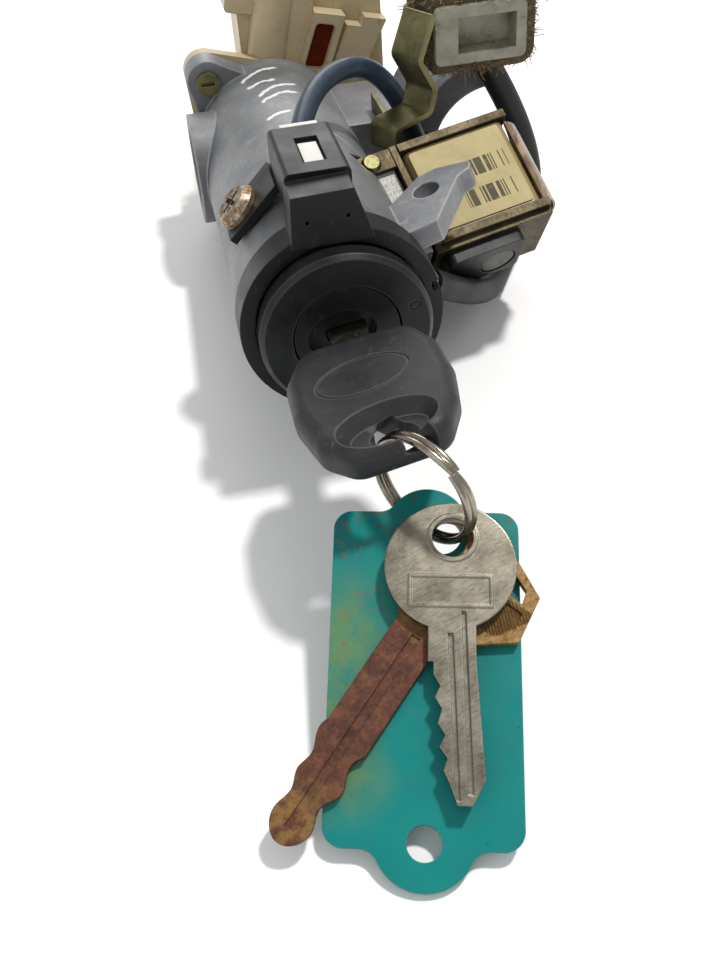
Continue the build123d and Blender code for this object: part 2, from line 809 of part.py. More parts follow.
CABLE_D = 4.8
CABLE_ROUTE = [(-1.6, 26.2, 36.0), (4.0, 32.0, 57.0), (26.0, 30.0, 70.0), (33.5, 7.0, 71.3)]
cable_stops, cable_radii = route(CABLE_ROUTE)
print("cable radii", cable_radii, "section", CABLE_D)
with BuildPart() as antenna_cable:
    with BuildLine():
        lead = FilletPolyline(*cable_stops, radius=cable_radii)
    with BuildSketch(Plane(origin=lead @ 0, z_dir=lead % 0)):
        Circle(CABLE_D / 2)
    sweep()
save(antenna_cable, "antenna_cable")
print("cable length", round(lead.length, 1), "volume over section times length",
      round(antenna_cable.part.volume / (pi * CABLE_D ** 2 / 4 * lead.length), 4))

# boot behind the solenoid where the antenna's cable ends
with BuildPart() as harness_boot:
    with BuildSketch(Plane(origin=lead @ 1, z_dir=lead % 1)):
        Circle(3.9)
    extrude(amount=7)
save(harness_boot, "harness_boot")

with BuildPart() as warning_switch:
    with BuildSketch(beside(23)):
        with Locations((WARN_B, WARN_T)):
            Rectangle(11.96, 7.96)
    extrude(amount=-6.6)
    with BuildSketch(beside(18.8)):
        with Locations((WARN_B, WARN_T)):
            Circle(1.55)
    extrude(amount=-3, mode=Mode.SUBTRACT)
save(warning_switch, "warning_switch")

with BuildPart() as warning_plunger:
    with BuildSketch(beside(9.7)):
        with Locations((WARN_B, WARN_T)):
            Circle(1.2)
    extrude(amount=7.6)
save(warning_plunger, "warning_plunger")

# ================================================================ ignition key
HEAD_THICK = 8.4
with BuildPart() as key_head:
    with BuildSketch(KEY.offset(-HEAD_THICK / 2)):
        with BuildLine():
            Polyline((-11.0, -5.0), (12.0, -5.6), (15.9, -14), (16.4, -24), (14.8, -32.5), (10.6, -40.8),
                     (-7.6, -41.6), (-13.0, -35.8), (-15.8, -25), (-15.6, -14.5), close=True)
        make_face()
        fillet(vertices(), 5.4)
    extrude(amount=HEAD_THICK)
    flat = Axis(tuple(point(0, 0, 0)), tuple(KEY_UP))
    fillet(key_head.faces().sort_by(flat)[-1].edges(), 3.3)
    fillet(key_head.faces().sort_by(flat)[0].edges(), 3.3)
    # plain oval line in both sides, the scoop round the ring's hole, and the hole
    for side in (1, -1):
        with BuildSketch(KEY.offset(side * (HEAD_THICK / 2 - 0.3))):
            with Locations((-0.6, -20.0)):
                Ellipse(9.6, 5.6, rotation=6)
                Ellipse(9.15, 5.15, rotation=6, mode=Mode.SUBTRACT)
        extrude(amount=side * 2, mode=Mode.SUBTRACT)
        with BuildSketch(KEY.offset(side * 1.3)):
            with Locations((0.6, -35.2)):
                Ellipse(7.6, 3.4, rotation=5)
        extrude(amount=side * 3.6, taper=-38, mode=Mode.SUBTRACT)
    with BuildSketch(KEY.offset(-8)):
        with Locations((1.2, -36.6)):
            Ellipse(4.6, 3.4)
    extrude(amount=16, mode=Mode.SUBTRACT)
    # open way of the split ring from the hole over the rim
    with BuildSketch(RING_PLANE.offset(-2.7)):
        Circle(RING_MEAN + 3.2)
        Circle(RING_MEAN - 1.5, mode=Mode.SUBTRACT)
        with Locations((12.9, -9)):
            Rectangle(20, 24, mode=Mode.SUBTRACT)
    extrude(amount=5.4, mode=Mode.SUBTRACT)
    # pocket of the blade and of the transponder
    with BuildSketch(KEY.offset(-1.2)):
        with Locations((0, -8)):
            Rectangle(8.0, 14)
    extrude(amount=2.4, mode=Mode.SUBTRACT)
    with BuildSketch(KEY.offset(-1.5)):
        with Locations((9.2, -13)):
            Rectangle(3.2, 12)
    extrude(amount=3, mode=Mode.SUBTRACT)
save(key_head, "key_head")

with BuildPart() as key_blade:
    with BuildSketch(KEY.offset(-1.2)):
        with BuildLine():
            Polyline((-4, -15), (4, -15), (4, 24), (1.4, 27.5), (-1.4, 27.5), (-4, 24), close=True)
        make_face()
        # cuts along both edges
        for y, deep in ((6, 1.1), (10, 0.6), (14, 1.5), (18, 0.8), (22, 1.2)):
            for side in (1, -1):
                with Locations((side * (5.3 - deep), y)):
                    RegularPolygon(1.4, 4, mode=Mode.SUBTRACT)
    extrude(amount=2.4)
save(key_blade, "key_blade")

with BuildPart() as transponder_chip:
    with BuildSketch(KEY.offset(-1.45)):
        with Locations((9.2, -13)):
            Rectangle(3.0, 11.6)
    extrude(amount=2.9)
save(transponder_chip, "transponder_chip")

# ================================================================ what hangs on the key
WIRE_R = 0.72
with BuildPart() as split_ring:
    with Locations(RING_PLANE.offset(WIRE_R * 0.92), RING_PLANE.offset(-WIRE_R * 0.92)):
        Torus(RING_MEAN, WIRE_R)
save(split_ring, "split_ring")

with BuildPart() as key_tag:
    with BuildSketch(TAG.offset(-TAG_THICK / 2)):
        with Locations((0, TAG_LONG / 2)):
            Rectangle(TAG_WIDE, TAG_LONG)
        with Locations((0.3, TAG_LONG - 3.0)):
            Circle(7.7)
        with Locations((0.2, 2.2)):
            Circle(9.2)
        fillet(vertices(), 3.6)
        with Locations((0.2, 1.1)):
            Circle(3.1, mode=Mode.SUBTRACT)
        with Locations((3.0, 56.8)):
            Circle(3.7, mode=Mode.SUBTRACT)
    extrude(amount=TAG_THICK)
save(key_tag, "key_tag")

# old car key under the cylinder key: local x across it, y from tip to bow
OLD_LIFT = TAG_THICK / 2 + 0.35
OLD_DIR = TAG_X * 0.535 + TAG_Y * 0.845
OLD_SIDE = TAG_X * 0.845 - TAG_Y * 0.535
OLD = Plane(origin=TAG.from_local_coords((-24.9, 0.5, OLD_LIFT)), x_dir=OLD_SIDE, z_dir=TAG_OUT)
with BuildPart() as old_key:
    with BuildSketch(OLD):
        with BuildLine():
            Spline((-4.6, 22), (-4.9, 19), (-3.6, 15.4), (-4.2, 12), (-3.05, 8.6), (-3.75, 5), (-2.75, 1.55), (0, -0.05),
                   (3.0, 1.6), (3.9, 5), (2.9, 8.6), (4.7, 12.4), (3.5, 16.4), (4.6, 20))
            Polyline((4.6, 20), (4.6, 46), (-4.6, 46), (-4.6, 22))
        make_face()
        with BuildLine():
            Polyline((-5, 45), (5, 45), (10.5, 47.8), (16.4, 52.2), (15.3, 61.4), (8.5, 65.2), (2.0, 66.8),
                     (-6.5, 66.8), (-9.8, 63.5), (-9.8, 52.0), close=True)
        make_face()
        with BuildLine():
            Polyline((6.6, 59.2), (13.2, 58.6), (12.6, 61.2), (7.8, 63.4), close=True)
        make_face(mode=Mode.SUBTRACT)
        with Locations((-4.9, 61.8)):
            Circle(3.7, mode=Mode.SUBTRACT)
    extrude(amount=2.0)
    # sunk panel on both faces of the bow, beside the hole
    for h, way in ((2.0, -0.45), (0.0, 0.45)):
        with BuildSketch(OLD.offset(h)):
            with BuildLine():
                Polyline((6.2, 48.6), (9.9, 49.3), (14.6, 52.9), (14.2, 57.2), (6.2, 57.6), close=True)
            make_face()
            fillet(vertices(), 0.8)
        extrude(amount=way, mode=Mode.SUBTRACT)
    # groove along both faces of the blade
    for h, way in ((2.0, -0.5), (0.0, 0.5)):
        with BuildSketch(OLD.offset(h)):
            with Locations((0.4, 23)):
                Rectangle(1.8, 40)
        extrude(amount=way, mode=Mode.SUBTRACT)
save(old_key, "old_key")

CYL_LIFT = OLD_LIFT + 2.0 + 0.35
CYL = Plane(origin=TAG.from_local_coords((4.9, 54.8, CYL_LIFT)), x_dir=TAG_X, z_dir=TAG_OUT)
CYL_BOW_R = 12.1
with BuildPart() as cylinder_key:
    with BuildSketch(CYL):
        with Locations((-0.4, -5.4)):
            Circle(CYL_BOW_R)
        with Locations((-0.1, -19.2)):
            Rectangle(8.6, 8)
        with BuildLine():
            Polyline((-3.4, -20), (4.0, -20), (5.6, -43.5), (3.4, -47.8), (0.8, -47.8), (-0.6, -44),
                     (-1.6, -42), (-0.9, -40), (-2.3, -38), (-1.3, -36), (-2.6, -34), (-1.9, -31.5),
                     (-3.1, -29.5), (-2.2, -27.5), (-3.4, -25.5), close=True)
        make_face()
        Circle(3.8, mode=Mode.SUBTRACT)
    extrude(amount=2.1)
    # rim round the hole and a raised border panel
    with BuildSketch(CYL.offset(2.1)):
        Circle(4.7)
        Circle(3.8, mode=Mode.SUBTRACT)
        with Locations((-0.4, -10.2)):
            Rectangle(15.4, 6.2)
            Rectangle(14.2, 5.0, mode=Mode.SUBTRACT)
    extrude(amount=0.25)
    # profile grooves along the blade
    with BuildSketch(CYL.offset(2.1)):
        with BuildLine():
            Polyline((1.6, -14), (2.4, -14), (3.6, -46), (2.6, -46), close=True)
        make_face()
        with BuildLine():
            Polyline((-0.9, -18), (0.1, -18), (1.3, -47), (0.5, -47), close=True)
        make_face()
    extrude(amount=-0.7, mode=Mode.SUBTRACT)
save(cylinder_key, "cylinder_key")
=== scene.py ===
import json
import math
import random
import bpy
import bmesh
from mathutils import Matrix, Vector


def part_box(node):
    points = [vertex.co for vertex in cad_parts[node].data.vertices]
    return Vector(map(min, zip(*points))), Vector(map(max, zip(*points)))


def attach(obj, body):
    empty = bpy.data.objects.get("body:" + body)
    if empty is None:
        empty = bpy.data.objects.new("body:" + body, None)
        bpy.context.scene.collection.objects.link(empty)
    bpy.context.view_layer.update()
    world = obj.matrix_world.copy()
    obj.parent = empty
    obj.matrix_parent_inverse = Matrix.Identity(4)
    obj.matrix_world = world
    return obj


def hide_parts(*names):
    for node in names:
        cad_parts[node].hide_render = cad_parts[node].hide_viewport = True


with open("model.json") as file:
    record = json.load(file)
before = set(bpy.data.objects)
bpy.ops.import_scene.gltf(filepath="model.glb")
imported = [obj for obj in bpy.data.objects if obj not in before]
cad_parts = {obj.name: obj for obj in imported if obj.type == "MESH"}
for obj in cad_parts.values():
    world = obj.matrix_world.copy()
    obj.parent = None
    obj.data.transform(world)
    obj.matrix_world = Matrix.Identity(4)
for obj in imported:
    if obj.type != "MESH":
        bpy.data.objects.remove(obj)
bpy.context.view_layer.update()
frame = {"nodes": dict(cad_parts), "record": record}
random.seed(11)

# ---------------------------------------------------------------- directions of the lock (metres)
PITCH = math.radians(8.0)
SINP = math.sin(PITCH)
COSP = math.cos(PITCH)
turning = next(j for j in frame["record"]["behaviour"]["joints"] if j["name"] == "plug_turn")
# the record gives the key's turning axis at a point 20 mm behind the bezel's face
FACE = Vector(turning["pos_m"]) - Vector(turning["axis"]).normalized() * 0.020


def point(s, t, b):
    """s right of the lock axis, t above it and b behind the bezel's face, in mm."""
    return FACE + Vector((s, t * SINP + b * COSP, t * COSP - b * SINP)) / 1000


def heading(s, t, b):
    return Vector((s, t * SINP + b * COSP, t * COSP - b * SINP)).normalized()


SOL_OUT = heading(0, 0.827, -0.562)
SOL_X = heading(0.98, 0.11, 0.162)
SOL_Y = SOL_OUT.cross(SOL_X)
SOL_AT = point(39.9, 9.9, 43.4)
TAG_YAW = math.radians(15.1)
TAG_LEAN = math.radians(19.3)
TAG_X = Vector((math.cos(TAG_YAW), -math.sin(TAG_YAW), 0))
TAG_Y = Vector((math.sin(TAG_YAW) * math.cos(TAG_LEAN), math.cos(TAG_YAW) * math.cos(TAG_LEAN),
                math.sin(TAG_LEAN)))
TAG_OUT = TAG_X.cross(TAG_Y)
TAG_AT = FACE + Vector((-9.1, -96.2, -32.6)) / 1000


def on_sol(x, y, z):
    return SOL_AT + (SOL_X * x + SOL_Y * y + SOL_OUT * z) / 1000


def on_tag(x, y, z):
    return TAG_AT + (TAG_X * x + TAG_Y * y + TAG_OUT * z) / 1000


# ---------------------------------------------------------------- camera
camera = bpy.data.objects.new("camera", bpy.data.cameras.new("camera"))
bpy.context.scene.collection.objects.link(camera)
right = Vector((0.9751, -0.2201, -0.0280)).normalized()
forward = Vector((0.1246, 0.6476, -0.7517)).normalized()
up = right.cross(forward).normalized()
right = forward.cross(up)
camera.matrix_world = Matrix.Translation(FACE + Vector((-0.03132, -0.16966, 0.15089))) @ Matrix(
    (right, up, -forward)).transposed().to_4x4()
camera.data.lens = 41.1
camera.data.sensor_width = 36.0
camera.data.clip_start = 0.005
camera.data.clip_end = 20.0
bpy.context.scene.camera = camera


# ---------------------------------------------------------------- cords
# their materials exist from the start, and their nodes are made with the others' further down
sleeving_material = bpy.data.materials.new("black_sleeving")
sheath_material = bpy.data.materials.new("cable_sheath")


def cord_piece(name, points, diameter, material):
    """A smooth tube whose control points are the route's."""
    curve = bpy.data.curves.new(name, "CURVE")
    curve.dimensions = "3D"
    curve.bevel_depth = diameter / 2
    curve.bevel_resolution = 8
    curve.resolution_u = 24
    curve.use_fill_caps = True
    spline = curve.splines.new("NURBS")
    spline.points.add(len(points) - 1)
    for stop, at in zip(spline.points, points):
        stop.co = (*at, 1.0)
    spline.order_u = 3
    spline.use_endpoint_u = True
    curve.materials.append(material)
    piece = bpy.data.objects.new(name, curve)
    bpy.context.scene.collection.objects.link(piece)
    return piece


TUBE_ROUTE = ((48.3, 29.5, 68.8), (68.2, -2.3, 71.5), (52.6, -25.3, 59.1), (40.3, -19.8, 35.2), (23.4, -4, 22))
CABLE_ROUTE = ((-1.6, 26.2, 36.0), (4.0, 32.0, 57.0), (26.0, 30.0, 70.0), (33.5, 7.0, 71.3))
tube = cord_piece("harness_sleeving", [point(*p) for p in TUBE_ROUTE], 0.0064, sleeving_material)
cable = cord_piece("antenna_lead", [point(*p) for p in CABLE_ROUTE], 0.0048, sheath_material)
for piece, node, length, diameter, slot in ((tube, "harness_tube", 0.113, 0.0064, "tube_rubber"),
                                            (cable, "antenna_cable", 0.067, 0.0048, "cable_rubber")):
    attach(piece, "housing")
    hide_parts(node)

# ---------------------------------------------------------------- floor and light
floor_mesh = bpy.data.meshes.new("floor")
floor_mesh.from_pydata([(-3, -3, 0), (3, -3, 0), (3, 3, 0), (-3, 3, 0)], [], [(0, 1, 2, 3)])
floor = bpy.data.objects.new("floor", floor_mesh)
bpy.context.scene.collection.objects.link(floor)
floor.location.z = -0.0002


def sun(name, place, target, spread, power, tint):
    data = bpy.data.lights.new(name, "SUN")
    data.angle = math.radians(spread)
    data.energy = power
    data.color = tint
    obj = bpy.data.objects.new(name, data)
    bpy.context.scene.collection.objects.link(obj)
    obj.location = place
    obj.rotation_euler = (Vector(target) - Vector(place)).to_track_quat("-Z", "Y").to_euler()
    return obj


def lamp(name, place, target, size, power, tint=(1, 1, 1)):
    data = bpy.data.lights.new(name, "AREA")
    data.shape = "DISK"
    data.size = size
    data.energy = power
    data.color = tint
    obj = bpy.data.objects.new(name, data)
    bpy.context.scene.collection.objects.link(obj)
    obj.location = place
    obj.rotation_euler = (Vector(target) - Vector(place)).to_track_quat("-Z", "Y").to_euler()
    return obj


sun("key light", (0.34, 0.16, 0.95), (0, 0, 0.02), 5.5, 2.55, (1.0, 0.985, 0.955))
lamp("fill light", (-0.7, -0.6, 0.7), (0, 0, 0.02), 0.9, 2.2, (0.95, 0.98, 1.0))
lamp("back light", (0.1, 0.9, 0.5), (0, 0.05, 0.03), 0.5, 2.5)
world = bpy.data.worlds.new("studio")
bpy.context.scene.world = world
world.use_nodes = True
world.node_tree.nodes["Background"].inputs["Color"].default_value = (1.0, 1.0, 1.0, 1.0)
world.node_tree.nodes["Background"].inputs["Strength"].default_value = 0.55
bpy.context.scene.view_settings.view_transform = "Standard"


# ---------------------------------------------------------------- materials
class Look:
    """A small node graph in millimetres of the row frame, ending in one Principled shader."""

    def __init__(self, name, rough=0.5, metal=0.0, **extra):
        self.mat = bpy.data.materials.get(name) or bpy.data.materials.new(name)
        self.mat.use_nodes = True
        self.tree = self.mat.node_tree
        self.tree.nodes.clear()
        out = self.add("ShaderNodeOutputMaterial")
        self.shader = self.add("ShaderNodeBsdfPrincipled")
        self.tree.links.new(self.shader.outputs[0], out.inputs[0])
        self.shader.inputs["Roughness"].default_value = rough
        self.shader.inputs["Metallic"].default_value = metal
        for key, value in extra.items():
            self.shader.inputs[key.replace("_", " ")].default_value = value
        coord = self.add("ShaderNodeTexCoord")
        scale = self.add("ShaderNodeMapping")
        scale.inputs["Scale"].default_value = (1000, 1000, 1000)
        self.link(coord.outputs["Object"], scale.inputs["Vector"])
        self.mm = scale.outputs["Vector"]

    def add(self, kind):
        return self.tree.nodes.new(kind)

    def link(self, source, target):
        self.tree.links.new(source, target)

    def noise(self, size, detail=4.0, rough=0.55, stretch=None, turn=None, distort=0.0):
        """Noise whose features are about size mm, 0 to 1."""
        where = self.mm
        if turn is not None:
            spin = self.add("ShaderNodeMapping")
            spin.inputs["Rotation"].default_value = turn
            self.link(where, spin.inputs["Vector"])
            where = spin.outputs["Vector"]
        if stretch is not None:
            pull = self.add("ShaderNodeMapping")
            pull.inputs["Scale"].default_value = stretch
            self.link(where, pull.inputs["Vector"])
            where = pull.outputs["Vector"]
        node = self.add("ShaderNodeTexNoise")
        node.inputs["Scale"].default_value = 1.0 / size
        node.inputs["Detail"].default_value = detail
        node.inputs["Roughness"].default_value = rough
        node.inputs["Distortion"].default_value = distort
        self.link(where, node.inputs["Vector"])
        return node.outputs["Fac"]

    def cells(self, size, feature="F1"):
        node = self.add("ShaderNodeTexVoronoi")
        node.feature = feature
        node.inputs["Scale"].default_value = 1.0 / size
        self.link(self.mm, node.inputs["Vector"])
        return node.outputs["Distance"]

    def ramp(self, value, *stops):
        node = self.add("ShaderNodeValToRGB")
        band = node.color_ramp
        while len(band.elements) > 1:
            band.elements.remove(band.elements[-1])
        band.elements[0].position = stops[0][0]
        band.elements[0].color = tone(stops[0][1])
        for place, colour in stops[1:]:
            band.elements.new(place).color = tone(colour)
        self.link(value, node.inputs["Fac"])
        return node.outputs["Color"]

    def remap(self, value, low, high, to_low=0.0, to_high=1.0):
        node = self.add("ShaderNodeMapRange")
        node.inputs["From Min"].default_value = low
        node.inputs["From Max"].default_value = high
        node.inputs["To Min"].default_value = to_low
        node.inputs["To Max"].default_value = to_high
        self.link(value, node.inputs["Value"])
        return node.outputs["Result"]

    def math(self, kind, first, second=0.5, clamp=False):
        node = self.add("ShaderNodeMath")
        node.operation = kind
        node.use_clamp = clamp
        for socket, value in zip(node.inputs, (first, second)):
            if isinstance(value, (int, float)):
                socket.default_value = value
            else:
                self.link(value, socket)
        return node.outputs[0]

    def mix(self, amount, first, second, kind="MIX"):
        node = self.add("ShaderNodeMix")
        node.data_type = "RGBA"
        node.blend_type = kind
        for socket, value in ((node.inputs["Factor"], amount), (node.inputs[6], first), (node.inputs[7], second)):
            if isinstance(value, (int, float)):
                socket.default_value = value
            elif isinstance(value, tuple):
                socket.default_value = tone(value)
            else:
                self.link(value, socket)
        return node.outputs[2]

    def along(self, origin, axis):
        """Distance in mm along an axis from a point of the row frame (metres)."""
        node = self.add("ShaderNodeVectorMath")
        node.operation = "SUBTRACT"
        self.link(self.mm, node.inputs[0])
        node.inputs[1].default_value = tuple(v * 1000 for v in origin)
        dot = self.add("ShaderNodeVectorMath")
        dot.operation = "DOT_PRODUCT"
        self.link(node.outputs["Vector"], dot.inputs[0])
        dot.inputs[1].default_value = tuple(axis)
        return dot.outputs["Value"]

    def edges(self, radius_mm, low=0.0004, high=0.03):
        """(rounded normal, mask of the edges) from softened corners."""
        bevel = self.add("ShaderNodeBevel")
        bevel.samples = 6
        bevel.inputs["Radius"].default_value = radius_mm / 1000
        real = self.add("ShaderNodeNewGeometry")
        dot = self.add("ShaderNodeVectorMath")
        dot.operation = "DOT_PRODUCT"
        self.link(bevel.outputs["Normal"], dot.inputs[0])
        self.link(real.outputs["Normal"], dot.inputs[1])
        mask = self.remap(dot.outputs["Value"], 1 - low, 1 - high)
        return bevel.outputs["Normal"], mask

    def bump(self, height, depth_mm, normal=None, strength=1.0):
        node = self.add("ShaderNodeBump")
        node.inputs["Strength"].default_value = strength
        node.inputs["Distance"].default_value = depth_mm / 1000
        self.link(height, node.inputs["Height"])
        if normal is not None:
            self.link(normal, node.inputs["Normal"])
        return node.outputs["Normal"]

    def finish(self, colour=None, rough=None, normal=None, metal=None):
        for key, value in (("Base Color", colour), ("Roughness", rough), ("Normal", normal), ("Metallic", metal)):
            if value is not None:
                self.link(value, self.shader.inputs[key])
        return self.mat


SHADE = 0.70  # the surfaces' share of the brightness they are written with


def tone(colour):
    """An sRGB colour, 0 to 255, as a linear one; one with four numbers is linear already."""
    if len(colour) == 4:
        return colour
    return tuple(SHADE * (((c / 255 + 0.055) / 1.055) ** 2.4 if c > 10 else c / 255 / 12.92) for c in colour) + (1.0,)


def grey(v):
    return (v, v, v)


def cast_metal(name, dark=112, light=150, grain=0.35):
    look = Look(name, rough=0.5, metal=0.75)
    rounded, edge = look.edges(0.5)
    big = look.noise(14, 5)
    small = look.noise(1.3, 6, 0.65)
    colour = look.ramp(big, (0.3, grey(dark)), (0.5, ((dark + light) / 2, (dark + light) / 2 + 2, (dark + light) / 2 + 4)),
                       (0.72, (light, light + 2, light + 3)))
    colour = look.mix(look.remap(small, 0.45, 0.75, 0, 0.45), colour, (94, 92, 88))
    pits = look.remap(look.cells(1.9), 0.05, 0.22, 1, 0)
    spots = look.math("MULTIPLY", pits, look.remap(look.noise(7, 2), 0.55, 0.62))
    colour = look.mix(look.math("MULTIPLY", spots, 0.6), colour, (58, 52, 46))
    colour = look.mix(look.math("MULTIPLY", edge, 0.5), colour, (196, 198, 200))
    normal = look.bump(small, 0.10 * grain / 0.35, rounded)
    normal = look.bump(look.noise(0.45, 3, 0.7), 0.035 * grain / 0.35, normal)
    return look.finish(colour, look.remap(small, 0.3, 0.8, 0.42, 0.66), normal)


def moulded(name, base, worn, rough=0.42, grain=0.25, depth=0.012, bevel=0.35, dust=0.12, gloss_patch=0.1, shine=0.38):
    """A moulded plastic with fine grain, dusty patches and pale worn corners."""
    look = Look(name, rough=rough, Specular_IOR_Level=shine)
    rounded, edge = look.edges(bevel)
    patches = look.noise(9, 5, 0.6)
    fine = look.noise(grain, 3, 0.6)
    colour = look.mix(look.remap(patches, 0.35, 0.7), base, tuple(c * 0.86 + w * 0.14 for c, w in zip(base, worn)))
    colour = look.mix(look.math("MULTIPLY", look.remap(look.noise(2.2, 6, 0.7), 0.56, 0.74), dust), colour, worn)
    scratch = look.remap(look.noise(1.1, 3, 0.5, stretch=(1, 0.12, 0.3), turn=(0.3, 0.2, 0.7)), 0.66, 0.72)
    colour = look.mix(look.math("MULTIPLY", scratch, dust * 1.4), colour, worn)
    colour = look.mix(look.math("MULTIPLY", edge, 0.35), colour, worn)
    normal = look.bump(fine, depth, rounded)
    normal = look.bump(scratch, 0.02, normal)
    roughness = look.remap(patches, 0.3, 0.7, rough - gloss_patch, rough + gloss_patch)
    return look.finish(colour, roughness, normal)


def plated(name, base, shade, rough=0.24, direction=(1, 1, 1), turn=None, stain=(88, 76, 58), stain_amount=0.35,
           bevel=0.2, brush=0.012):
    """A plated or bare metal with brushing, stains and bright corners."""
    look = Look(name, rough=rough, metal=1.0)
    rounded, edge = look.edges(bevel)
    lines = look.noise(0.5, 4, 0.7, stretch=direction, turn=turn)
    clouds = look.noise(6, 5, 0.6)
    colour = look.mix(look.remap(clouds, 0.32, 0.7), base, shade)
    spots = look.remap(look.noise(1.6, 7, 0.72), 0.58, 0.68)
    colour = look.mix(look.math("MULTIPLY", spots, stain_amount), colour, stain)
    colour = look.mix(look.math("MULTIPLY", edge, 0.5), colour, tuple(min(255, c * 1.15) for c in base))
    rough_map = look.math("ADD", look.remap(lines, 0.3, 0.75, rough - 0.06, rough + 0.14),
                          look.math("MULTIPLY", spots, 0.25))
    normal = look.bump(lines, brush, rounded)
    normal = look.bump(clouds, 0.03, normal)
    return look.finish(colour, rough_map, normal)


# short dashes of white paint on the barrel's top: (s, b) of both ends, in lock terms
DASHES = (((-7.9, 95.6), (2.7, 100.1)), ((-6.6, 89.5), (1.3, 91.4)), ((-5.2, 83.0), (5.5, 88.9)),
          ((-4.8, 78.6), (5.1, 83.1)), ((-5.0, 67.2), (1.9, 70.3)))


def housing_look():
    look = Look("die_cast_housing", rough=0.5, metal=0.35)
    rounded, edge = look.edges(0.7)
    big = look.noise(18, 5)
    small = look.noise(1.1, 6, 0.65)
    colour = look.ramp(big, (0.3, (112, 114, 117)), (0.52, (142, 144, 147)), (0.74, (170, 171, 173)))
    colour = look.mix(look.remap(small, 0.46, 0.78, 0, 0.22), colour, (104, 103, 101))
    grime = look.remap(look.noise(9, 7, 0.7), 0.57, 0.7)
    colour = look.mix(look.math("MULTIPLY", grime, 0.4), colour, (84, 78, 70))
    bloom = look.remap(look.noise(5, 7, 0.75), 0.58, 0.72)
    colour = look.mix(look.math("MULTIPLY", bloom, 0.5), colour, (200, 201, 202))
    colour = look.mix(look.math("MULTIPLY", edge, 0.55), colour, (212, 213, 214))
    across = look.along(FACE, heading(1, 0, 0))
    back = look.along(FACE, heading(0, 0, 1))
    over = look.along(FACE, heading(0, 1, 0))
    # brighter, coarse pad beside the solenoid
    pad = look.math("MULTIPLY", look.remap(look.along(on_sol(0, 0, -1.8), SOL_OUT), -0.25, -0.05),
                    look.remap(look.along(on_sol(0, 0, -1.8), SOL_OUT), 0.3, 0.1))
    pad = look.math("MULTIPLY", pad, look.remap(look.along(on_sol(-16.2, 0, 0), SOL_X), 0.2, 0.0))
    pad = look.math("MULTIPLY", pad, look.remap(look.along(on_sol(-26.8, 0, 0), SOL_X), -0.2, 0.0))
    grit = look.noise(0.55, 4, 0.7)
    colour = look.mix(pad, colour, look.ramp(grit, (0.3, (150, 150, 142)), (0.6, (222, 222, 214))))
    # paint dashes, a little ragged
    paint = None
    wobble = look.math("MULTIPLY", look.math("SUBTRACT", look.noise(2.6, 3), 0.5), 2.2)
    for (s0, b0), (s1, b1) in DASHES:
        run = math.hypot(s1 - s0, b1 - b0)
        dx, dy = (s1 - s0) / run, (b1 - b0) / run
        u = look.math("ADD", look.math("MULTIPLY", look.math("SUBTRACT", across, s0), dx),
                      look.math("MULTIPLY", look.math("SUBTRACT", back, b0), dy))
        v = look.math("SUBTRACT", look.math("MULTIPLY", look.math("SUBTRACT", back, b0), dx),
                      look.math("MULTIPLY", look.math("SUBTRACT", across, s0), dy))
        bow = look.math("MULTIPLY", look.math("MULTIPLY", look.math("SUBTRACT", u, run / 2), look.math("SUBTRACT", u, run / 2)), 0.045)
        v = look.math("ADD", look.math("ADD", v, bow), wobble)
        line = look.math("MULTIPLY", look.remap(look.math("ABSOLUTE", v), 0.75, 0.5),
                         look.math("MULTIPLY", look.remap(u, 0.0, 0.6), look.remap(u, run, run - 0.8)))
        paint = line if paint is None else look.math("MAXIMUM", paint, line)
    paint = look.math("MULTIPLY", paint, look.remap(over, 16.5, 17.5))
    paint = look.math("MULTIPLY", paint, look.remap(look.noise(0.8, 5, 0.7), 0.3, 0.4))
    colour = look.mix(paint, colour, (246, 246, 244))
    normal = look.bump(small, 0.045, rounded)
    normal = look.bump(look.noise(0.35, 3, 0.7), 0.02, normal)
    normal = look.bump(look.math("MULTIPLY", grit, pad), 0.16, normal)
    metal = look.remap(paint, 0, 1, 0.35, 0.0)
    return look.finish(colour, look.remap(small, 0.3, 0.8, 0.4, 0.6), normal, metal)


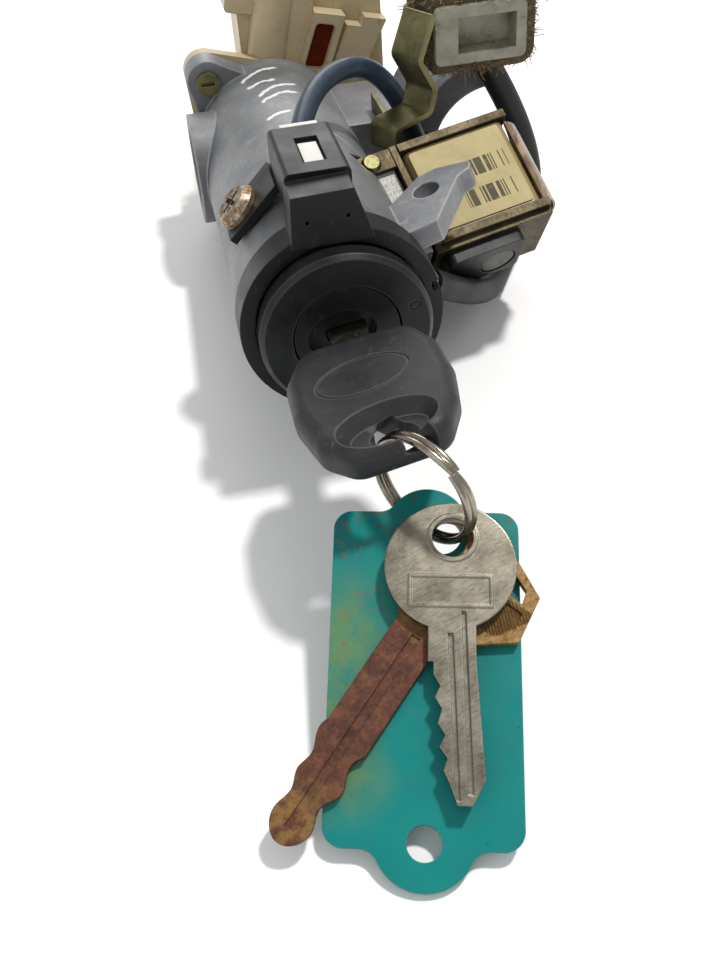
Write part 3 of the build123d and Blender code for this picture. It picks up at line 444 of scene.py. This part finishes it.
def tag_look():
    look = Look("teal_tag_plastic", rough=0.36, Specular_IOR_Level=0.25)
    rounded, edge = look.edges(0.3)
    across = look.along(TAG_AT, TAG_X)
    along = look.along(TAG_AT, TAG_Y)
    drift = look.math("MULTIPLY", look.noise(9, 4), 12)
    side = look.remap(look.math("ADD", across, drift), -6.5, 1.5, 1, 0)
    band = look.math("MULTIPLY", look.remap(along, 2, 12), look.remap(along, 52, 40))
    stain = look.math("MULTIPLY", look.math("MULTIPLY", side, band), look.remap(look.noise(5, 6, 0.7), 0.26, 0.56))
    colour = look.mix(look.remap(look.noise(12, 4), 0.35, 0.7), (2, 144, 138), (0, 130, 129))
    colour = look.mix(look.math("MULTIPLY", stain, 0.8), colour, (112, 148, 92))
    rust = look.math("MULTIPLY", look.remap(look.noise(2.4, 7, 0.75), 0.56, 0.66),
                     look.math("MULTIPLY", side, look.remap(along, 22, 40)))
    colour = look.mix(look.math("MULTIPLY", rust, 0.75), colour, (152, 92, 34))
    top = look.math("MULTIPLY", look.remap(along, 50, 58), look.remap(look.noise(3, 6, 0.7), 0.5, 0.64))
    colour = look.mix(look.math("MULTIPLY", top, 0.55), colour, (88, 74, 40))
    dots = look.math("MULTIPLY", look.remap(look.cells(2.3), 0.10, 0.04), look.remap(look.noise(4, 2), 0.52, 0.6))
    colour = look.mix(look.math("MULTIPLY", dots, 0.7), colour, (38, 62, 52))
    colour = look.mix(look.math("MULTIPLY", edge, 0.3), colour, (84, 190, 182))
    scratch = look.remap(look.noise(1.4, 3, 0.5, stretch=(1, 0.1, 1), turn=(0, 0, 0.9)), 0.66, 0.7)
    normal = look.bump(look.noise(7, 3), 0.05, rounded)
    normal = look.bump(scratch, 0.012, normal)
    return look.finish(colour, look.remap(look.noise(3, 5), 0.3, 0.7, 0.26, 0.42), normal)


OLD_AT = on_tag(-24.9, 0.5, 1.25)
OLD_DIR = (TAG_X * 0.535 + TAG_Y * 0.845).normalized()
OLD_SIDE = (TAG_X * 0.845 - TAG_Y * 0.535).normalized()


def old_key_look():
    look = Look("rusted_brass_key", rough=0.6, metal=0.35, Specular_IOR_Level=0.35)
    rounded, edge = look.edges(0.3)
    along = look.along(OLD_AT, OLD_DIR)
    clouds = look.noise(3.2, 7, 0.7)
    grit = look.noise(0.7, 6, 0.75)
    rust = look.ramp(clouds, (0.3, (58, 32, 22)), (0.45, (94, 52, 34)), (0.6, (120, 72, 46)), (0.75, (150, 100, 62)))
    rust = look.mix(look.remap(grit, 0.5, 0.75, 0, 0.6), rust, (60, 36, 24))
    gold = look.ramp(look.noise(2.2, 5), (0.3, (138, 106, 62)), (0.6, (176, 144, 96)), (0.8, (206, 182, 138)))
    where = look.math("ADD", along, look.math("MULTIPLY", look.noise(3.5, 5), 10))
    bow = look.remap(where, 47, 53)
    tip = look.math("MULTIPLY", look.remap(along, 14, 6), look.remap(look.noise(2.5, 5), 0.42, 0.56))
    colour = look.mix(bow, rust, gold)
    colour = look.mix(look.math("MULTIPLY", tip, 0.75), colour, (150, 116, 58))
    colour = look.mix(look.math("MULTIPLY", look.remap(look.noise(1.4, 6, 0.7), 0.55, 0.66), 0.5), colour, (70, 42, 22))
    side = look.along(OLD_AT, OLD_SIDE)
    hatch = look.math("SINE", look.math("MULTIPLY", look.math("ADD", along, side), 7.5), 0)
    normal = look.bump(grit, 0.10, rounded)
    normal = look.bump(clouds, 0.14, normal)
    # cross-ruled floor of the bow's sunk panel
    panel = look.math("MULTIPLY", look.remap(side, 4.4, 5.0), look.remap(look.math("ADD", side, look.math(
        "MULTIPLY", look.math("SUBTRACT", 52.0, along), 0.7)), 13.2, 12.6))
    panel = look.math("MULTIPLY", panel, look.math("MULTIPLY", look.remap(along, 50.4, 51.0), look.remap(along, 58.4, 57.8)))
    normal = look.bump(look.math("MULTIPLY", panel, hatch), 0.1, normal)
    colour = look.mix(look.math("MULTIPLY", panel, 0.45), colour, (104, 70, 34))
    metal = look.remap(bow, 0, 1, 0.15, 0.9)
    return look.finish(colour, look.remap(grit, 0.3, 0.75, 0.42, 0.8), normal, metal)


def screw_look():
    look = Look("rusty_screw", rough=0.4, metal=0.9)
    rounded, edge = look.edges(0.3)
    clouds = look.noise(1.6, 6, 0.7)
    colour = look.ramp(clouds, (0.3, (96, 58, 38)), (0.45, (142, 110, 84)), (0.6, (188, 178, 160)), (0.8, (214, 206, 190)))
    colour = look.mix(look.math("MULTIPLY", edge, 0.5), colour, (222, 216, 202))
    normal = look.bump(clouds, 0.10, rounded)
    return look.finish(colour, look.remap(clouds, 0.35, 0.7, 0.6, 0.28), normal)


def label_look():
    look = Look("aged_label", rough=0.6, Specular_IOR_Level=0.2)
    rounded, edge = look.edges(0.2)
    cloud = look.noise(6, 5)
    colour = look.ramp(cloud, (0.3, (196, 178, 124)), (0.55, (214, 198, 146)), (0.8, (224, 210, 164)))
    colour = look.mix(look.math("MULTIPLY", edge, 0.5), colour, (168, 146, 96))
    specks = look.remap(look.noise(1.0, 6, 0.75), 0.62, 0.7)
    colour = look.mix(look.math("MULTIPLY", specks, 0.4), colour, (150, 128, 84))
    # two rows of plain upright bars
    across = look.along(SOL_AT, SOL_X)
    along = look.along(SOL_AT, SOL_Y)
    thin = look.add("ShaderNodeTexWhiteNoise")
    thin.noise_dimensions = "1D"
    look.link(look.math("FLOOR", look.math("MULTIPLY", across, 3.1), 0), thin.inputs["W"])
    bars = look.math("GREATER_THAN", thin.outputs["Value"], 0.46)
    rows = None
    for x0, x1, y0, y1 in ((-5.5, 9.6, -0.2, 4.2), (-4.0, 8.4, -7.6, -3.2)):
        row = look.math("MULTIPLY", look.math("MULTIPLY", look.math("GREATER_THAN", across, x0), look.math("LESS_THAN", across, x1)),
                        look.math("MULTIPLY", look.math("GREATER_THAN", along, y0), look.math("LESS_THAN", along, y1)))
        rows = row if rows is None else look.math("ADD", rows, row)
    ink = look.math("MULTIPLY", look.math("MULTIPLY", bars, rows), look.remap(look.noise(0.9, 5, 0.7), 0.28, 0.4))
    colour = look.mix(look.math("MULTIPLY", ink, 0.86), colour, (46, 42, 38))
    return look.finish(colour, look.remap(cloud, 0.3, 0.7, 0.5, 0.66), look.bump(cloud, 0.06, rounded))


def tape_look():
    look = Look("brown_film", rough=0.22, Transmission_Weight=0.35, IOR=1.45)
    streak = look.noise(2.4, 5, 0.6, stretch=(1, 0.35, 1))
    colour = look.ramp(streak, (0.3, (112, 86, 58)), (0.5, (170, 140, 104)), (0.62, (214, 190, 160)), (0.8, (150, 122, 88)))
    return look.finish(colour, look.remap(streak, 0.3, 0.7, 0.14, 0.4), look.bump(streak, 0.25))


def clear_look():
    look = Look("milky_connector", rough=0.3, Transmission_Weight=0.25, IOR=1.46)
    rounded, edge = look.edges(0.4)
    cloud = look.noise(4, 5)
    colour = look.ramp(cloud, (0.3, (150, 148, 124)), (0.6, (190, 188, 166)), (0.8, (216, 214, 198)))
    return look.finish(colour, look.remap(cloud, 0.3, 0.7, 0.2, 0.42), look.bump(cloud, 0.05, rounded))


def felt_look():
    look = Look("brown_felt", rough=0.95)
    fine = look.noise(0.5, 6, 0.75)
    cloud = look.noise(4, 4)
    colour = look.ramp(fine, (0.3, (72, 62, 42)), (0.5, (118, 104, 74)), (0.7, (164, 148, 112)))
    colour = look.mix(look.remap(cloud, 0.4, 0.7, 0, 0.6), colour, (74, 58, 42))
    return look.finish(colour, None, look.bump(fine, 0.5))


def yellow_zinc(name, base=(168, 158, 112), shade=(122, 112, 76), rough=0.42):
    return plated(name, base, shade, rough=rough, direction=(1, 0.2, 1), stain=(92, 74, 48), stain_amount=0.5,
                  bevel=0.25, brush=0.01)


black = moulded("black_moulding", (24, 25, 27), (80, 78, 74), rough=0.42, dust=0.16, shine=0.26)
bezel_black = moulded("bezel_moulding", (26, 28, 30), (100, 96, 88), rough=0.4, dust=0.12, bevel=0.5, shine=0.26)
key_black = moulded("key_grip", (44, 45, 48), (140, 138, 134), rough=0.5, grain=0.35, depth=0.03, bevel=0.5, dust=0.13,
                    shine=0.28)
beige = moulded("beige_moulding", (214, 196, 158), (150, 122, 78), rough=0.4, dust=0.36, bevel=0.6)
white = moulded("white_moulding", (232, 230, 222), (176, 170, 156), rough=0.4, dust=0.2)
rubber = moulded("black_sleeving", (20, 20, 22), (62, 60, 58), rough=0.55, grain=0.5, depth=0.04, dust=0.2)
blue_rubber = moulded("cable_sheath", (44, 58, 76), (92, 104, 116), rough=0.36, grain=0.4, depth=0.02, dust=0.25)
cast = cast_metal("zinc_casting")
housing_mat = housing_look()
nickel = plated("worn_nickel", (172, 166, 150), (118, 112, 98), rough=0.3, direction=(0.25, 1.6, 1),
                turn=(0, 0, -TAG_YAW), stain=(104, 92, 72), stain_amount=0.45, bevel=0.35, brush=0.004)
ring_metal = plated("ring_wire", (200, 190, 176), (140, 128, 112), rough=0.2, stain=(120, 84, 52), stain_amount=0.45)
steel = plated("bright_steel", (178, 176, 172), (140, 138, 134), rough=0.28)
dark_steel = plated("dark_steel", (104, 102, 98), (78, 76, 72), rough=0.36)
brass = plated("brass_parts", (190, 150, 84), (150, 112, 58), rough=0.3, stain=(84, 60, 30))
copper = plated("copper_parts", (190, 110, 70), (146, 76, 46), rough=0.35)
zinc = yellow_zinc("yellow_zinc", (112, 102, 80), (70, 63, 50), 0.5)
strip_zinc = yellow_zinc("olive_zinc", (150, 144, 104), (108, 104, 70))
ear_zinc = yellow_zinc("dull_zinc", (150, 146, 100), (96, 94, 62))
window_red = plated("window_copper", (150, 62, 40), (104, 40, 28), rough=0.4, stain=(70, 34, 24))
wrap = moulded("coil_wrapping", (176, 154, 104), (112, 92, 60), rough=0.35, dust=0.4)

LOOKS = {
    "lock_housing": housing_mat, "cylinder_sleeve": cast, "bezel_ring": bezel_black, "lock_plug": cast,
    "wafer_tumblers": brass, "plug_face": black, "cam": cast, "tail_shaft": steel, "return_spring": steel,
    "lock_bar": steel, "bar_spring": steel, "bar_cap": cast, "antenna_housing": black, "antenna_coil": copper,
    "antenna_plug": black, "antenna_pins": brass, "plug_lock": white, "antenna_screw": screw_look(),
    "switch_case": beige, "switch_screws": ear_zinc, "switch_rotor": white, "switch_contacts": copper,
    "switch_terminals": brass, "window_plate": window_red, "solenoid_frame": zinc, "solenoid_bobbin": white,
    "coil_winding": copper, "coil_cover": wrap, "solenoid_label": label_look(), "end_tape": tape_look(),
    "solenoid_plunger": dark_steel, "plunger_spring": steel, "solenoid_bracket": zinc, "bracket_rivet": strip_zinc,
    "interlock_guide": black, "pole_piece": dark_steel, "connector_strip": strip_zinc,
    "harness_connector": clear_look(), "felt_wrap": felt_look(), "harness_boot": rubber,
    "warning_switch": black, "warning_plunger": white, "key_head": key_black, "key_blade": nickel,
    "transponder_chip": black, "split_ring": ring_metal, "key_tag": tag_look(), "old_key": old_key_look(),
    "cylinder_key": nickel,
}
for name, look in LOOKS.items():
    node = frame["nodes"][name]
    node.data.materials.clear()
    node.data.materials.append(look)

# ---------------------------------------------------------------- the split ring's real double turn
RING_OUT = Vector((0.833, 0.552, -0.022)).normalized()
RING_SIDE = Vector((0, 0, 1)).cross(RING_OUT).normalized()
RING_UP = RING_OUT.cross(RING_SIDE)
ring_low, ring_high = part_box("split_ring")
ring_centre = (Vector(ring_low) + Vector(ring_high)) / 2
WIRE = 0.00072
ring_curve = bpy.data.curves.new("ring_coil", "CURVE")
ring_curve.dimensions = "3D"
ring_curve.bevel_depth = WIRE
ring_curve.bevel_resolution = 6
ring_curve.resolution_u = 6
ring_curve.use_fill_caps = True
STEPS = 132
START = math.radians(127)
coil = ring_curve.splines.new("NURBS")
coil.points.add(STEPS)
for i, stop in enumerate(coil.points):
    turn = 2 * i / STEPS
    swing = START - turn * 2 * math.pi
    # one flat turn, a short cross-over, and the second flat turn beside it
    over = min(1.0, max(0.0, (turn - 0.93) / 0.14))
    over = over * over * (3 - 2 * over)
    place = ring_centre + (RING_SIDE * math.cos(swing) + RING_UP * math.sin(swing)) * 0.0114
    place = place + RING_OUT * WIRE * 0.96 * (1 - 2 * over)
    stop.co = (*place, 1.0)
coil.order_u = 3
coil.use_endpoint_u = True
ring_piece = bpy.data.objects.new("ring_coil", ring_curve)
bpy.context.scene.collection.objects.link(ring_piece)
ring_curve.materials.append(ring_metal)
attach(ring_piece, "ring")
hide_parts("split_ring")

# ---------------------------------------------------------------- loose fibres of the felt
wrap_low, wrap_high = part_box("felt_wrap")
fibre_curve = bpy.data.curves.new("felt_fibres", "CURVE")
fibre_curve.dimensions = "3D"
fibre_curve.bevel_depth = 0.00009
fibre_curve.bevel_resolution = 1
fibre_curve.resolution_u = 3
felt_mesh = frame["nodes"]["felt_wrap"].data
faces = [f for f in felt_mesh.polygons if f.area > 1e-9]
weights = [f.area for f in faces]
for face in random.choices(faces, weights, k=1500):
    corners = [felt_mesh.vertices[v].co for v in face.vertices]
    shares = [random.random() for _ in corners]
    root = sum((c * w for c, w in zip(corners, shares)), Vector()) / sum(shares)
    sway = Vector((random.uniform(-1, 1), random.uniform(-1, 1), random.uniform(-1, 1)))
    out = (face.normal + sway * 0.7).normalized()
    reach = random.uniform(0.0009, 0.0027)
    curl = Vector((random.uniform(-1, 1), random.uniform(-1, 1), random.uniform(-1, 1))) * reach * 0.45
    hair = fibre_curve.splines.new("POLY")
    hair.points.add(3)
    for step, stop in enumerate(hair.points):
        t = step / 3
        stop.co = (*(root - face.normal * 0.0001 + out * reach * t + curl * t * t), 1.0)
fibres = bpy.data.objects.new("felt_fibres", fibre_curve)
bpy.context.scene.collection.objects.link(fibres)
fibre_look = Look("fibre_brown", rough=0.9)
fibre_look_mat = fibre_look.finish(fibre_look.ramp(fibre_look.noise(1.6, 4), (0.35, (96, 80, 54)), (0.6, (170, 148, 106))),
                                   None, fibre_look.bump(fibre_look.noise(0.3, 2), 0.01))
fibre_curve.materials.append(fibre_look_mat)
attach(fibres, "housing")

floor_look = Look("pale_floor", rough=0.7)
floor_tone = floor_look.ramp(floor_look.noise(60, 4), (0.3, (0.86, 0.86, 0.865, 1.0)), (0.7, (0.90, 0.90, 0.90, 1.0)))
floor_mesh.materials.append(floor_look.finish(floor_tone, None, floor_look.bump(floor_look.noise(1.5, 4), 0.03)))
